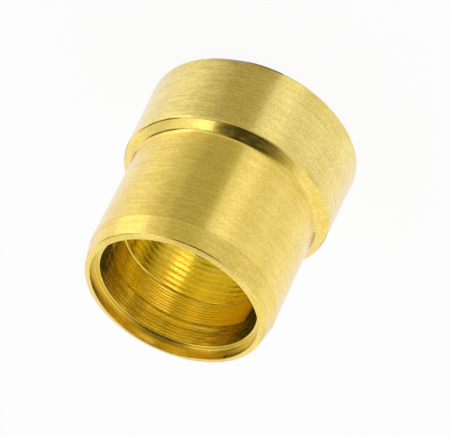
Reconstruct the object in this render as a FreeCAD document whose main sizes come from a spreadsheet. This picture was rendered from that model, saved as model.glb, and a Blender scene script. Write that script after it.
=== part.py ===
# Compression olive: a ring turned from brass bar in one piece, which seals a 6 mm tube in a 24 degree seat.
# Millimetres. The ring stands on its back face, nose up: Z = 0 is the back face, and the bore's axis is Z.
import FreeCAD, Part
import os
import Sketcher

doc = FreeCAD.newDocument("compression_olive")

# Driving dimensions: the section is given from the bore outwards and from the back face to the nose.
# A radial size is added to the radius that it stands on, so that each one can be set by itself.
DRIVING_SIZES = [
    ("tube_diameter", 6.0, "outside of the tube that the ring slides over"),
    ("tube_clearance", 0.05, "radial gap between the tube and the bore"),
    ("back_chamfer", 0.25, "45 degree lead for the tube at the back of the bore"),
    ("bore_step", 0.065, "radial step, at 45 degrees, from the tube bore to the front bore"),
    ("front_bore_length", 1.31, "plain front bore between the bore step and the lead step"),
    ("lead_step", 0.08, "radial step, at 45 degrees, from the front bore to the lead cone"),
    ("lead_length", 0.62, "lead cone behind the cutting step"),
    ("cutting_step", 0.205, "radial width of the flat step at the bottom of the mouth"),
    ("mouth_depth", 0.55, "straight mouth in the nose, from the rim to the cutting step"),
    ("rim_width", 0.265, "radial width of the rim around the mouth"),
    ("rim_setback", 0.12, "fall of the rim from its inner to its outer edge"),
    ("seat_angle", 24.0, "whole angle of the band behind the rim and of the lead cone, in degrees"),
    ("seat_band_length", 0.835, "conical band that meets the fitting's seat"),
    ("body_length", 4.56, "straight body from the seat band to the shoulder"),
    ("shoulder_height", 0.465, "radial height of the collar over the body at the shoulder"),
    ("shoulder_lean", 0.31, "length along the axis that the conical shoulder takes to rise"),
    ("collar_length", 3.235, "collar from the shoulder to the back bevel"),
    ("collar_taper", 1.1, "slope of the collar, widening towards the back, in degrees"),
    ("bevel_length", 0.32, "length along the axis of the bevel that the nut bears on"),
    ("bevel_angle", 45.0, "slope of that bevel, in degrees"),
    ("shoulder_fillet", 0.14, "radius of the hollow between the body and the shoulder"),
    ("collar_round", 0.06, "radius of the collar's front edge"),
    ("edge_break", 0.04, "radius of the other outside edges"),
]
sheet = doc.addObject("Spreadsheet::Sheet", "sizes")
for row, (name, size, meaning) in enumerate(DRIVING_SIZES, start=1):
    sheet.set("A%d" % row, meaning)
    sheet.set("B%d" % row, str(size))
    sheet.setAlias("B%d" % row, name)
doc.recompute()

# The ring's section, as a lathe tool would follow it from the back bevel round the nose and into the bore.
# Each side has its run along the radius and its run along the axis, or None where it has no such run.
SEAT_SLOPE = "tan(sizes.seat_angle / 2 * 1 deg)"
CUT_SIDES = [
    ("back_bevel", "sizes.bevel_length * tan(sizes.bevel_angle * 1 deg)", "sizes.bevel_length"),
    ("collar", "-sizes.collar_length * tan(sizes.collar_taper * 1 deg)", "sizes.collar_length"),
    ("shoulder", "-sizes.shoulder_height", "sizes.shoulder_lean"),
    ("body", None, "sizes.body_length"),
    ("seat_band", "-sizes.seat_band_length * " + SEAT_SLOPE, "sizes.seat_band_length"),
    ("rim", "-sizes.rim_width", "sizes.rim_setback"),
    ("mouth", None, "-sizes.mouth_depth"),
    ("cutting_step", "-sizes.cutting_step", None),
    ("lead_cone", "-sizes.lead_length * " + SEAT_SLOPE, "-sizes.lead_length"),
    ("lead_step", "-sizes.lead_step", "-sizes.lead_step"),
    ("front_bore", None, "-sizes.front_bore_length"),
    ("bore_step", "-sizes.bore_step", "-sizes.bore_step"),
]
BORE_RADIUS = "sizes.tube_diameter / 2 + sizes.tube_clearance"
BACK_CHAMFER = "sizes.back_chamfer"

# The two ends of a sketch line, and the sketch's own X axis and origin, as Sketcher numbers them
START, END = 1, 2
X_AXIS, ORIGIN = -1, -1

# Two points closer than this are the same corner
SAME_PLACE = 1e-5


def size_of(expression):
    """The number that an expression over the sheet gives, or nothing for a run that a side hasn't got."""
    if expression is None:
        return 0.0
    return float(sheet.evalExpression(expression))


def section_corners():
    """Corners of the section as (radius, height), from the lower end of the back bevel onwards."""
    radial_total = sum(size_of(radial) for _, radial, _ in CUT_SIDES)
    corners = [FreeCAD.Vector(size_of(BORE_RADIUS) - radial_total, 0, 0)]
    for _, radial, axial in CUT_SIDES:
        corners.append(corners[-1] + FreeCAD.Vector(size_of(radial), size_of(axial), 0))
    chamfer = size_of(BACK_CHAMFER)
    corners.append(FreeCAD.Vector(size_of(BORE_RADIUS), chamfer, 0))
    corners.append(FreeCAD.Vector(size_of(BORE_RADIUS) + chamfer, 0, 0))
    return corners


def bind_run(sketch, kind, side, name, expression):
    """Ties one run of a side to its expression, under a name of its own in the sketch."""
    run = sketch.addConstraint(Sketcher.Constraint(kind, side, START, side, END, size_of(expression)))
    sketch.renameConstraint(run, name)
    sketch.setExpression("Constraints." + name, expression)


def draw_section(sketch):
    """Draws the closed section and ties every side to the sheet."""
    corners = section_corners()
    names = [name for name, _, _ in CUT_SIDES] + ["tube_bore", "back_chamfer", "back_face"]
    for start, end in zip(corners, corners[1:] + corners[:1]):
        sketch.addGeometry(Part.LineSegment(start, end), False)
    side = {name: number for number, name in enumerate(names)}
    for number in range(len(names)):
        following = (number + 1) % len(names)
        sketch.addConstraint(Sketcher.Constraint("Coincident", number, END, following, START))
    for name, radial, axial in CUT_SIDES + [("back_chamfer", BACK_CHAMFER, "-" + BACK_CHAMFER)]:
        if radial is None:
            sketch.addConstraint(Sketcher.Constraint("Vertical", side[name]))
        else:
            bind_run(sketch, "DistanceX", side[name], name + "_radial", radial)
        if axial is None:
            sketch.addConstraint(Sketcher.Constraint("Horizontal", side[name]))
        else:
            bind_run(sketch, "DistanceY", side[name], name + "_axial", axial)
    sketch.addConstraint(Sketcher.Constraint("Vertical", side["tube_bore"]))
    sketch.addConstraint(Sketcher.Constraint("Horizontal", side["back_face"]))
    sketch.addConstraint(Sketcher.Constraint("PointOnObject", side["back_face"], START, X_AXIS))
    radius = sketch.addConstraint(
        Sketcher.Constraint("DistanceX", ORIGIN, START, side["tube_bore"], START, size_of(BORE_RADIUS)))
    sketch.renameConstraint(radius, "bore_radius")
    sketch.setExpression("Constraints.bore_radius", BORE_RADIUS)
    return side


def ring_edge(feature, corner):
    """The name of the feature's round edge that passes through a corner of the section."""
    for number, edge in enumerate(feature.Shape.Edges, start=1):
        curve = edge.Curve
        if not isinstance(curve, Part.Circle):
            continue
        place = FreeCAD.Vector(curve.Radius, curve.Center.z, 0)
        if place.isEqual(corner, SAME_PLACE):
            return "Edge%d" % number
    raise RuntimeError("no round edge at radius %.3f, height %.3f" % (corner.x, corner.y))


def round_edges(body, base, name, corners, radius):
    """Rounds the round edges at the given corners of the section."""
    fillet = body.newObject("PartDesign::Fillet", name)
    fillet.Base = (base, [ring_edge(base, corner) for corner in corners])
    fillet.setExpression("Radius", radius)
    doc.recompute()
    return fillet


# The ring: the section turned once around the axis, then its hollow and its edges
olive = doc.addObject("PartDesign::Body", "compression_olive")
olive.Label = "compression_olive"
planes = {feature.Role: feature for feature in olive.Origin.OriginFeatures}
section = olive.newObject("Sketcher::SketchObject", "section")
section.AttachmentSupport = (planes["XZ_Plane"], "")
section.MapMode = "FlatFace"
sides = draw_section(section)
doc.recompute()

turned = olive.newObject("PartDesign::Revolution", "turned")
turned.Profile = section
turned.ReferenceAxis = (section, ["V_Axis"])
turned.Angle = 360
doc.recompute()


def end_of(name):
    """The corner of the section where a side ends."""
    return section.Geometry[sides[name]].EndPoint


# The hollow and the round share the shoulder, and two broken edges share the rim: each has its limit there
HOLLOW_LIMIT = "sizes.shoulder_height * 0.54"
ROUND_LIMIT = "sizes.shoulder_height * 0.66"
BREAK_LIMIT = "sizes.rim_width * 0.3"
hollow = round_edges(olive, turned, "shoulder_hollow", [end_of("shoulder")],
                     "min(sizes.shoulder_fillet; %s)" % HOLLOW_LIMIT)
rounded = round_edges(olive, hollow, "collar_front_round", [end_of("collar")],
                      "min(sizes.collar_round; %s)" % ROUND_LIMIT)
round_edges(olive, rounded, "edges_broken",
            [end_of("back_bevel"), end_of("back_face"), end_of("seat_band"), end_of("rim")],
            "min(sizes.edge_break; %s)" % BREAK_LIMIT)

# Every object has to be sound before anything is written
for item in doc.Objects:
    if "Invalid" in item.State or "Error" in item.State:
        raise RuntimeError("%s failed: %s" % (item.Name, item.State))
if olive.Shape.isNull() or not olive.Shape.isValid() or len(olive.Shape.Solids) != 1:
    raise RuntimeError("the ring is not one valid solid")

os.makedirs("parts", exist_ok=True)
olive.Shape.exportStep("parts/%s.step" % olive.Label)
box = olive.Shape.optimalBoundingBox()
print("collar %.3f mm, length %.3f mm, volume %.2f mm3" % (box.XLength, box.ZLength, olive.Shape.Volume))
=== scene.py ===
import math
import random

import bmesh
import bpy
from mathutils import Matrix, Vector


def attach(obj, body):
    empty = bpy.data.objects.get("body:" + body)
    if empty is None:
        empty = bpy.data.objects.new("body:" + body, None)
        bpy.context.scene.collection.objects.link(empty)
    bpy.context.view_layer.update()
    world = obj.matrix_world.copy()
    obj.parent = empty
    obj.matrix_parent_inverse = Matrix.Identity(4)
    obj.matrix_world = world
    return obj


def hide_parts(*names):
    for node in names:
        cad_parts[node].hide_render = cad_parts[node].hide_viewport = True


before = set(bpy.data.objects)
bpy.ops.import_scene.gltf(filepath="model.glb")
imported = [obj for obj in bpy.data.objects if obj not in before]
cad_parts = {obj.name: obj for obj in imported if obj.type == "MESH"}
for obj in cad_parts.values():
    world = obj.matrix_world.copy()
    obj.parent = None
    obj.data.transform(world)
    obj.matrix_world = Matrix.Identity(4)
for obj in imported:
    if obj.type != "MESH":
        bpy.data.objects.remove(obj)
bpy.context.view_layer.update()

# The olive: one ring, turned from brass bar on a lathe and parted off, with nothing fitted to it.
# Its section goes from corner to corner: back face, bevel, collar, shoulder, straight body, seat band and
# rim, then down the stepped bore to the back again. A corner has its radius and height in millimetres.
MM = 0.001
section_corners = {
    "back_face_inner": (3.30, 0.0),
    "back_face_outer": (4.1814, 0.0),
    "bevel_top": (4.5014, 0.32),
    "collar_front": (4.4393, 3.555),
    "shoulder_foot": (3.9743, 3.865),
    "body_front": (3.9743, 8.425),
    "rim_outer": (3.7968, 9.26),
    "rim_inner": (3.5318, 9.38),
    "mouth_bottom": (3.5318, 8.83),
    "cutting_edge": (3.3268, 8.83),
    "lead_end": (3.176, 8.12),
    "front_bore_top": (3.115, 7.94),
    "front_bore_end": (3.105, 6.80),
    "bore_top": (3.05, 6.782),
    "bore_end": (3.05, 0.25),
}
# The round at each corner, by its radius in millimetres
edge_radii = {
    "back_face_inner": 0.03,
    "back_face_outer": 0.04,
    "bevel_top": 0.04,
    "collar_front": 0.18,
    "shoulder_foot": 0.22,
    "body_front": 0.06,
    "rim_outer": 0.08,
    "rim_inner": 0.05,
    "mouth_bottom": 0.03,
    "cutting_edge": 0.02,
    "lead_end": 0.50,
    "front_bore_top": 0.50,
    "front_bore_end": 0.02,
    "bore_top": 0.02,
    "bore_end": 0.03,
}
ROUND_SEGMENTS = 6
RING_STEPS = 224
MERGE_DISTANCE = 0.00001 * MM

# Turning marks that are wide enough to see one by one: the run's first and last corner, then the feed and
# the depth in millimetres. A mark's depth wanders by a share of itself.
tool_marks = [
    ("cutting_edge", "lead_end", 0.155, 0.0040),
    ("front_bore_top", "front_bore_end", 0.145, 0.0040),
    ("bore_top", "bore_end", 0.283, 0.0065),
]
MARK_STEPS = 6
MARK_WANDER = 0.5
STEP_MARGIN = 0.01
# Runs that the tool left plain, divided so that the rounds at their ends don't pull on all of their shading
plain_runs = [
    ("bevel_top", "collar_front", 12),
    ("shoulder_foot", "body_front", 16),
    ("body_front", "rim_outer", 4),
    ("rim_inner", "mouth_bottom", 3),
]


def section_point(name):
    """A corner of the section, in metres, in the XZ plane."""
    radius, height = section_corners[name]
    return Vector((radius * MM, 0.0, height * MM))


def tangent_length(name):
    """How far from a corner a round of its radius starts."""
    names = list(section_corners)
    at = names.index(name)
    before = section_point(names[at - 1]) - section_point(name)
    after = section_point(names[(at + 1) % len(names)]) - section_point(name)
    return edge_radii[name] * MM / math.tan(before.angle(after) / 2)


def run_between(mesh, start, end):
    """The straight edge of the section between two corners, once the corners are rounded."""
    middle = (section_point(start) + section_point(end)) / 2
    return min(mesh.edges, key=lambda edge: ((edge.verts[0].co + edge.verts[1].co) / 2 - middle).length)


def divide_run(mesh, start, end, parts):
    """Divides a straight run evenly, and gives the new vertices with their place along it, from 0 to 1."""
    run = run_between(mesh, start, end)
    first, last = (vert.co.copy() for vert in run.verts)
    made = bmesh.ops.subdivide_edges(mesh, edges=[run], cuts=parts - 1)
    inner = [item for item in made["geom_inner"] if isinstance(item, bmesh.types.BMVert)]
    return [(vert, (vert.co - first).length / (last - first).length) for vert in inner]


def cut_marks(mesh, start, end, feed, depth):
    """Turning marks on one run: shallow hollows side by side, each as wide as the tool's feed."""
    length = (section_point(end) - section_point(start)).length
    marks = round(length / (feed * MM))
    for vert, place in divide_run(mesh, start, end, marks * MARK_STEPS):
        mark = math.floor(place * marks + STEP_MARGIN / MARK_STEPS)
        within = place * marks - mark
        wander = 1 + MARK_WANDER * (random.Random(mark).random() - 0.5)
        vert.co.x += depth * MM * wander * 4 * within * (1 - within)


olive_mesh = bmesh.new()
ring = [olive_mesh.verts.new(section_point(name)) for name in section_corners]
for vert, following in zip(ring, ring[1:] + ring[:1]):
    olive_mesh.edges.new((vert, following))
for name, vert in zip(section_corners, ring):
    bmesh.ops.bevel(olive_mesh, geom=[vert], offset=tangent_length(name), offset_type="OFFSET",
                    affect="VERTICES", segments=ROUND_SEGMENTS, profile=0.5, material=-1)
for start, end, feed, depth in tool_marks:
    cut_marks(olive_mesh, start, end, feed, depth)
for start, end, parts in plain_runs:
    divide_run(olive_mesh, start, end, parts)
bmesh.ops.spin(olive_mesh, geom=olive_mesh.verts[:] + olive_mesh.edges[:], cent=(0, 0, 0), axis=(0, 0, 1),
               dvec=(0, 0, 0), angle=math.tau, steps=RING_STEPS, use_merge=True)
bmesh.ops.remove_doubles(olive_mesh, verts=olive_mesh.verts, dist=MERGE_DISTANCE)
bmesh.ops.recalc_face_normals(olive_mesh, faces=olive_mesh.faces)

# The front bore was cut in a second chucking and runs a little off the axis at its foot, so its ledge is wide
# at one side and dies out at the other.
FOOT_SHIFT = Vector((0.048, -0.028, 0.0)) * MM
MARK_ROOM = 0.01 * MM
front_top = section_point("front_bore_top")
front_foot = section_point("front_bore_end")
ledge_middle = (front_foot + section_point("bore_top")) / 2
for vert in olive_mesh.verts:
    at_wall = ledge_middle.x < vert.co.xy.length < front_top.x + MARK_ROOM
    if at_wall and ledge_middle.z < vert.co.z < front_top.z:
        way_down = (front_top.z - vert.co.z) / (front_top.z - front_foot.z)
        vert.co += FOOT_SHIFT * min(1.0, way_down)
for face in olive_mesh.faces:
    face.smooth = True
olive_data = bpy.data.meshes.new("turned_olive")
olive_mesh.to_mesh(olive_data)
olive_mesh.free()
olive = bpy.data.objects.new("turned_olive", olive_data)
bpy.context.scene.collection.objects.link(olive)

# Satin brass as it comes off the lathe: fine marks around the axis, which spread a reflection along the axis.
# The shoulder was cut by a form tool and the bore by a boring bar, so both are brighter than the outside.
BRUSHING = 0.9
QUARTER_TURN = 0.25
brass = bpy.data.materials.new("turned_brass")
brass.use_nodes = True
shader = brass.node_tree.nodes["Principled BSDF"]
shader.inputs["Metallic"].default_value = 1.0
shader.inputs["Anisotropic"].default_value = BRUSHING
shader.inputs["Anisotropic Rotation"].default_value = QUARTER_TURN


def join(tree, value, socket):
    """Puts a number, a colour or another node's output on an input."""
    if isinstance(value, bpy.types.NodeSocket):
        tree.links.new(value, socket)
    else:
        socket.default_value = value


def math_node(tree, operation, *values):
    """A Math node with numbers or sockets on its inputs; gives its output."""
    node = tree.nodes.new("ShaderNodeMath")
    node.operation = operation
    for socket, value in zip(node.inputs, values):
        join(tree, value, socket)
    return node.outputs["Value"]


def rise(tree, value, low, high, start=0.0, end=1.0):
    """A smooth rise from one value to another between two places."""
    node = tree.nodes.new("ShaderNodeMapRange")
    node.interpolation_type = "SMOOTHSTEP"
    join(tree, value, node.inputs["Value"])
    for name, number in (("From Min", low), ("From Max", high), ("To Min", start), ("To Max", end)):
        join(tree, number, node.inputs[name])
    return node.outputs["Result"]


def colour_mix(tree, share, first, second):
    """A Mix node for colours; gives its output."""
    node = tree.nodes.new("ShaderNodeMix")
    node.data_type = "RGBA"
    join(tree, share, node.inputs["Factor"])
    join(tree, first, node.inputs["A"])
    join(tree, second, node.inputs["B"])
    return node.outputs["Result"]


def noise(tree, place, detail):
    """A Noise texture on coordinates in the pattern's own scale; gives its value, about 0.5."""
    node = tree.nodes.new("ShaderNodeTexNoise")
    node.inputs["Scale"].default_value = 1.0
    node.inputs["Detail"].default_value = detail
    join(tree, place, node.inputs["Vector"])
    return node.outputs["Fac"]


# A tool that faces across the axis leaves its marks by radius, so the radius counts in its travel too
FACING_RATE = 1.3
tree = brass.node_tree
place = tree.nodes.new("ShaderNodeTexCoord")
parts = tree.nodes.new("ShaderNodeSeparateXYZ")
tree.links.new(place.outputs["Object"], parts.inputs["Vector"])
across_x = math_node(tree, "DIVIDE", parts.outputs["X"], MM)
across_y = math_node(tree, "DIVIDE", parts.outputs["Y"], MM)
height = math_node(tree, "DIVIDE", parts.outputs["Z"], MM)
square_x = math_node(tree, "MULTIPLY", across_x, across_x)
square_y = math_node(tree, "MULTIPLY", across_y, across_y)
radius = math_node(tree, "SQRT", math_node(tree, "ADD", square_x, square_y))
tool_travel = math_node(tree, "MULTIPLY_ADD", radius, FACING_RATE, height)


def streaks(tree, around, along, detail):
    """Marks around the axis, by how many a millimetre holds around the ring and along the tool's travel."""
    node = tree.nodes.new("ShaderNodeCombineXYZ")
    join(tree, math_node(tree, "MULTIPLY", across_x, around), node.inputs["X"])
    join(tree, math_node(tree, "MULTIPLY", across_y, around), node.inputs["Y"])
    join(tree, math_node(tree, "MULTIPLY", tool_travel, along), node.inputs["Z"])
    return noise(tree, node.outputs["Vector"], detail)


SPECKS_PER_MM = 11.0
SPECK_DETAIL = 2.0
fine_marks = streaks(tree, around=0.9, along=11.0, detail=2.0)
broken_marks = streaks(tree, around=2.2, along=9.0, detail=1.0)
broad_marks = streaks(tree, around=0.15, along=2.2, detail=2.0)
speck_place = tree.nodes.new("ShaderNodeVectorMath")
speck_place.operation = "SCALE"
tree.links.new(place.outputs["Object"], speck_place.inputs[0])
speck_place.inputs["Scale"].default_value = SPECKS_PER_MM / MM
specks = noise(tree, speck_place.outputs["Vector"], SPECK_DETAIL)

# Where on the ring: each mask rises from the first radius or height to the second, in millimetres
MOUTH_WALL = (3.56, 3.50)
OUTER_WALL = (3.7, 3.9)
COLLAR_END = (3.62, 3.50)
SHOULDER_BACK = (3.50, 3.58)
SHOULDER_FRONT = (3.99, 3.90)
BAND_EDGE_BACK = (8.39, 8.42)
BAND_EDGE_FRONT = (8.46, 8.43)
MOUTH_FLOOR = (3.34, 3.40)
BORE_START = (6.80, 6.78)
HOLLOW_WALL = (3.051, 3.056)
inside = rise(tree, radius, *MOUTH_WALL)
in_mouth = rise(tree, radius, *MOUTH_FLOOR)
in_bore = math_node(tree, "MULTIPLY", inside, rise(tree, height, *BORE_START))
in_hollow = math_node(tree, "MULTIPLY", in_bore, rise(tree, radius, *HOLLOW_WALL))
outside = rise(tree, radius, *OUTER_WALL)
on_collar = math_node(tree, "MULTIPLY", rise(tree, height, *COLLAR_END), outside)
past_collar = rise(tree, height, *SHOULDER_BACK)
before_body = rise(tree, height, *SHOULDER_FRONT)
on_shoulder = math_node(tree, "MULTIPLY", math_node(tree, "MULTIPLY", past_collar, before_body), outside)
past_body = rise(tree, height, *BAND_EDGE_BACK)
before_band = rise(tree, height, *BAND_EDGE_FRONT)
at_band_edge = math_node(tree, "MULTIPLY", past_body, before_band)

# Colour: a little darker in the marks and specks, paler on the collar and yellower in the bore, with painted
# shade in the marks' valleys, at the band's edge and in the mouth
FINE_WEIGHT = 0.5
BROKEN_WEIGHT = 0.3
BROAD_WEIGHT = 0.2
SPECK_WEIGHT = 0.7
TONE_LIMITS = (0.65, 1.05)
BODY_DARK = (0.83, 0.60, 0.085, 1.0)
BODY_LIGHT = (0.985, 0.75, 0.155, 1.0)
COLLAR_DARK = (0.77, 0.59, 0.115, 1.0)
COLLAR_LIGHT = (0.985, 0.78, 0.205, 1.0)
BORE_DARK = (0.84, 0.65, 0.07, 1.0)
BORE_LIGHT = (0.985, 0.81, 0.16, 1.0)
# Painted shade: a dark line along the round between the body and the seat band, where the surface turns
BAND_EDGE_PAINTED_SHADE = (0.55, 0.38, 0.05, 1.0)
BAND_EDGE_SHADE_SHARE = 0.45
# Painted shade in the valleys of the bore's marks, darker than their crests, to draw the marks as stripes
HOLLOW_PAINTED_SHADE = (0.58, 0.43, 0.04, 1.0)
HOLLOW_SHADE_SHARE = 0.30
# The mouth is greyer and duller in tone, and darker too: partly its own tone, partly painted shade
MOUTH_DULL_AND_SHADE_COLOUR = (0.76, 0.57, 0.13, 1.0)
MOUTH_SHADE_SHARE = 0.6
tone = math_node(tree, "MULTIPLY", fine_marks, FINE_WEIGHT)
for marks, weight in ((broken_marks, BROKEN_WEIGHT), (broad_marks, BROAD_WEIGHT), (specks, SPECK_WEIGHT)):
    tone = math_node(tree, "MULTIPLY_ADD", marks, weight, tone)
tone = rise(tree, tone, *TONE_LIMITS)
metal = colour_mix(tree, tone, BODY_DARK, BODY_LIGHT)
# Painted shade along the seat band's edge
metal = colour_mix(tree, math_node(tree, "MULTIPLY", at_band_edge, BAND_EDGE_SHADE_SHARE), metal, BAND_EDGE_PAINTED_SHADE)
metal = colour_mix(tree, on_collar, metal, colour_mix(tree, tone, COLLAR_DARK, COLLAR_LIGHT))
bored = colour_mix(tree, tone, BORE_DARK, BORE_LIGHT)
# Painted shade in the valleys of the bore's marks
bored = colour_mix(tree, math_node(tree, "MULTIPLY", in_hollow, HOLLOW_SHADE_SHARE), bored, HOLLOW_PAINTED_SHADE)
# Duller tone and painted shade in the mouth
bored = colour_mix(tree, math_node(tree, "MULTIPLY", in_mouth, MOUTH_SHADE_SHARE), bored, MOUTH_DULL_AND_SHADE_COLOUR)
metal = colour_mix(tree, inside, metal, bored)
join(tree, metal, shader.inputs["Base Color"])

# Gloss: satin outside, brighter in the bore and on the shoulder, a little uneven from mark to mark
MARK_LIMITS = (0.3, 0.7)
SATIN_ROUGHNESS = (0.22, 0.29)
INSIDE_CHANGE = -0.07
SHOULDER_CHANGE = -0.12
BORE_CHANGE = -0.06
gloss = rise(tree, broken_marks, *MARK_LIMITS, *SATIN_ROUGHNESS)
gloss = math_node(tree, "MULTIPLY_ADD", inside, INSIDE_CHANGE, gloss)
gloss = math_node(tree, "MULTIPLY_ADD", on_shoulder, SHOULDER_CHANGE, gloss)
gloss = math_node(tree, "MULTIPLY_ADD", in_bore, BORE_CHANGE, gloss)
join(tree, gloss, shader.inputs["Roughness"])

# Relief: feed marks and the short streaks between them
RELIEF_DEPTH = 0.0035 * MM
BROKEN_RELIEF = 0.9
relief = math_node(tree, "ADD", fine_marks, math_node(tree, "MULTIPLY", broken_marks, BROKEN_RELIEF))
bump = tree.nodes.new("ShaderNodeBump")
bump.inputs["Strength"].default_value = 1.0
bump.inputs["Distance"].default_value = RELIEF_DEPTH
join(tree, relief, bump.inputs["Height"])
join(tree, bump.outputs["Normal"], shader.inputs["Normal"])

around = tree.nodes.new("ShaderNodeTangent")
around.direction_type = "RADIAL"
around.axis = "Z"
join(tree, around.outputs["Tangent"], shader.inputs["Tangent"])
olive_data.materials.append(brass)
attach(olive, "root")
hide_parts("compression_olive")

# The floor: a plain pale sheet that the ring stands on. The camera sees it as the white of the picture with a
# faint shadow, and the ring mirrors the tent through it.
FLOOR_HALF = 400 * MM
PAPER_COLOUR = (0.92, 0.90, 0.70, 1.0)
WHITE_SHARE = 0.93
floor_mesh = bmesh.new()
bmesh.ops.create_grid(floor_mesh, x_segments=1, y_segments=1, size=FLOOR_HALF)
floor_data = bpy.data.meshes.new("floor")
floor_mesh.to_mesh(floor_data)
floor_mesh.free()
floor = bpy.data.objects.new("floor", floor_data)
bpy.context.scene.collection.objects.link(floor)
paper = bpy.data.materials.new("white_paper")
paper.use_nodes = True
tree = paper.node_tree
tree.nodes.clear()
path = tree.nodes.new("ShaderNodeLightPath")
matt = tree.nodes.new("ShaderNodeBsdfDiffuse")
matt.inputs["Color"].default_value = PAPER_COLOUR
glow = tree.nodes.new("ShaderNodeEmission")
blend = tree.nodes.new("ShaderNodeMixShader")
surface = tree.nodes.new("ShaderNodeOutputMaterial")
join(tree, math_node(tree, "MULTIPLY", path.outputs["Is Camera Ray"], WHITE_SHARE), blend.inputs["Fac"])
tree.links.new(matt.outputs["BSDF"], blend.inputs[1])
tree.links.new(glow.outputs["Emission"], blend.inputs[2])
tree.links.new(blend.outputs["Shader"], surface.inputs["Surface"])
floor_data.materials.append(paper)
floor.visible_glossy = False
floor.visible_shadow = False

# Cards below the sheet, hidden by it from the camera: grey ones shade the bore from underneath, and strips
# from white to grey, laid askew on them, light one side of it. Each has its least and greatest x and y in
# millimetres, the strips before they are turned, and its level.
CARD_DEPTH = 4.0
GREY_TINT = (1.0, 1.0, 0.7, 1.0)
grey_cards = {
    "right_card": (-6.2, 0.0, -7.2, 6.4, 0.82),
    "back_card": (0.0, 6.2, 0.4, 6.4, 0.60),
    "left_card": (0.0, 6.2, -7.2, 0.4, 0.14),
}
STRIP_DEPTH = 3.9
STRIP_TURN = -20.0
STRIP_TINT = (1.0, 0.95, 3.8, 1.0)
lit_strips = {
    "white_strip": (-0.9, 1.9, 0.4, 4.1, 3.5),
    "pale_strip": (1.9, 3.0, -0.4, 4.1, 1.6),
    "dim_strip": (3.0, 4.2, -1.4, 4.8, 0.85),
    "edge_strip": (4.2, 5.6, -2.6, 4.4, 0.45),
    "far_strip": (-0.9, 3.0, 4.1, 6.4, 0.55),
}


def lay_card(name, sides, depth, turn, tint):
    """A card of one level, flat below the floor, turned about the ring's axis by some degrees."""
    x_low, x_high, y_low, y_high, card_level = sides
    card_mesh = bmesh.new()
    middle = Matrix.Translation(Vector(((x_low + x_high) / 2, (y_low + y_high) / 2, -depth)) * MM)
    half_size = Matrix.Diagonal(((x_high - x_low) / 2 * MM, (y_high - y_low) / 2 * MM, 1.0, 1.0))
    askew = Matrix.Rotation(math.radians(turn), 4, "Z")
    bmesh.ops.create_grid(card_mesh, x_segments=1, y_segments=1, size=1.0, matrix=askew @ middle @ half_size)
    card_data = bpy.data.meshes.new(name)
    card_mesh.to_mesh(card_data)
    card_mesh.free()
    card = bpy.data.objects.new(name, card_data)
    bpy.context.scene.collection.objects.link(card)
    shade = bpy.data.materials.new(name + "_shade")
    shade.use_nodes = True
    tree = shade.node_tree
    tree.nodes.clear()
    glow = tree.nodes.new("ShaderNodeEmission")
    glow.inputs["Color"].default_value = tint
    glow.inputs["Strength"].default_value = card_level
    surface = tree.nodes.new("ShaderNodeOutputMaterial")
    tree.links.new(glow.outputs["Emission"], surface.inputs["Surface"])
    card_data.materials.append(shade)


for name, sides in grey_cards.items():
    lay_card(name, sides, CARD_DEPTH, 0.0, GREY_TINT)
for name, sides in lit_strips.items():
    lay_card(name, sides, STRIP_DEPTH, STRIP_TURN, STRIP_TINT)

# The light: a white tent of soft-edged panels all round, with the dark opening that the camera looks in by.
# A panel's place is its angle to the side and its pitch: 0 towards the camera, 90 overhead, -90 underfoot.
# It has two sides, two pitches, how soft each side and the pitches are, and its level over what is behind.
TENT_LEVEL = 1.06
tent_panels = {
    "bright_strip": (-20.0, -7.0, -84.0, -14.0, 3.0, 3.0, 12.0, 1.17),
    "right_wall": (-45.0, -22.0, -72.0, -8.0, 4.0, 8.0, 25.0, 0.90),
    "left_wall_dim": (2.5, 56.0, -109.0, -20.0, 1.2, 13.0, 30.0, 0.60),
    "left_wall_dark": (4.6, 38.3, -82.0, 0.0, 10.0, 2.8, 2.5, 0.44),
    "front_low": (-56.0, 52.0, -18.0, 13.0, 2.0, 22.0, 16.0, 0.66),
    "opening": (-30.0, 36.0, 13.5, 82.0, 25.0, 25.0, 8.0, 0.05),
    "left_back": (52.0, 78.0, 66.0, 165.0, 5.0, 6.0, 9.0, 0.18),
    "lamp": (25.5, 38.4, 64.0, 100.0, 3.5, 4.0, 2.5, 1.6),
    "left_lamp": (61.0, 84.0, -125.0, 57.0, 4.0, 3.0, 8.0, 1.45),
    "right_far": (-85.0, -53.0, -84.0, 74.0, 25.0, 14.5, 30.0, 0.78),
    "overhead_back": (-18.0, 38.0, 92.0, 146.0, 22.0, 6.0, 4.0, 1.0),
    "back_strip_right": (-46.0, -26.0, -174.0, -155.0, 3.0, 8.0, 5.0, 0.50),
    "back_strip_left": (24.0, 40.0, -174.0, -155.0, 8.0, 3.0, 5.0, 0.55),
    "back_low": (-15.0, 15.0, -190.0, -163.0, 4.0, 4.0, 6.0, 0.80),
}
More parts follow.
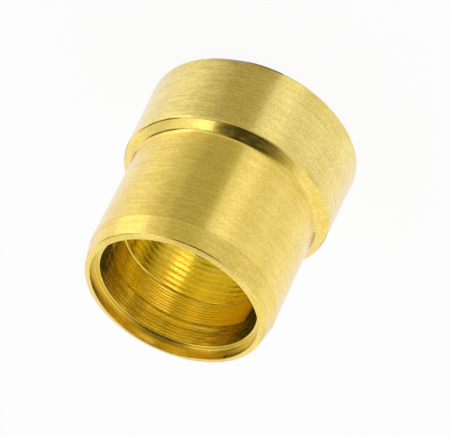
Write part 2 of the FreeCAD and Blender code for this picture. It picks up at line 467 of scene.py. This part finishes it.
# Dim cloth is warm and lit cloth is cool
CLOTH_LIMITS = (0.2, 1.1)
DIM_CLOTH = (1.06, 0.98, 0.70, 1.0)
LIT_CLOTH = (0.97, 1.0, 1.42, 1.0)
WHITE = (1.0, 1.0, 1.0, 1.0)
world = bpy.data.worlds.new("light_tent")
bpy.context.scene.world = world
world.use_nodes = True
tree = world.node_tree
tree.nodes.clear()
direction = tree.nodes.new("ShaderNodeTexCoord")
parts = tree.nodes.new("ShaderNodeSeparateXYZ")
tree.links.new(direction.outputs["Generated"], parts.inputs["Vector"])
to_side = math_node(tree, "DEGREES", math_node(tree, "ARCSINE", parts.outputs["X"]))
to_camera = math_node(tree, "MULTIPLY", parts.outputs["Y"], -1.0)
pitch = math_node(tree, "DEGREES", math_node(tree, "ARCTAN2", parts.outputs["Z"], to_camera))
level = TENT_LEVEL
for left, right, low, high, left_soft, right_soft, pitch_soft, panel_level in tent_panels.values():
    sides = math_node(tree, "MULTIPLY", rise(tree, to_side, left - left_soft, left + left_soft),
                      rise(tree, to_side, right + right_soft, right - right_soft))
    ends = math_node(tree, "MULTIPLY", rise(tree, pitch, low - pitch_soft, low + pitch_soft),
                     rise(tree, pitch, high + pitch_soft, high - pitch_soft))
    cover = math_node(tree, "MULTIPLY", sides, ends)
    change = math_node(tree, "SUBTRACT", panel_level, level)
    level = math_node(tree, "MULTIPLY_ADD", cover, change, level)
cloth = colour_mix(tree, rise(tree, level, *CLOTH_LIMITS), DIM_CLOTH, LIT_CLOTH)

light_path = tree.nodes.new("ShaderNodeLightPath")
seen = tree.nodes.new("ShaderNodeBackground")
seen.inputs["Color"].default_value = WHITE
lit = tree.nodes.new("ShaderNodeBackground")
join(tree, cloth, lit.inputs["Color"])
join(tree, level, lit.inputs["Strength"])
choose = tree.nodes.new("ShaderNodeMixShader")
world_out = tree.nodes.new("ShaderNodeOutputWorld")
tree.links.new(light_path.outputs["Is Camera Ray"], choose.inputs["Fac"])
tree.links.new(lit.outputs["Background"], choose.inputs[1])
tree.links.new(seen.outputs["Background"], choose.inputs[2])
tree.links.new(choose.outputs["Shader"], world_out.inputs["Surface"])

# The camera, at the photograph's angle and distance. It looks down on the ring from the front, and it is
# rolled more than half a turn, because the picture shows the nose at the bottom left.
CAMERA_ELEVATION = 36.05
CAMERA_ROLL = 205.87
CAMERA_PLACE = Vector((-0.4131, -91.047, 70.896)) * MM
camera_data = bpy.data.cameras.new("camera")
camera_data.lens = 224.0
camera_data.sensor_width = 36.0
camera_data.clip_start = 1.0 * MM
camera = bpy.data.objects.new("camera", camera_data)
bpy.context.scene.collection.objects.link(camera)
tilt = Matrix.Rotation(math.radians(90 - CAMERA_ELEVATION), 4, "X")
roll = Matrix.Rotation(math.radians(CAMERA_ROLL), 4, "Z")
camera.matrix_world = Matrix.Translation(CAMERA_PLACE) @ tilt @ roll
bpy.context.scene.camera = camera
bpy.context.scene.view_settings.view_transform = "Standard"
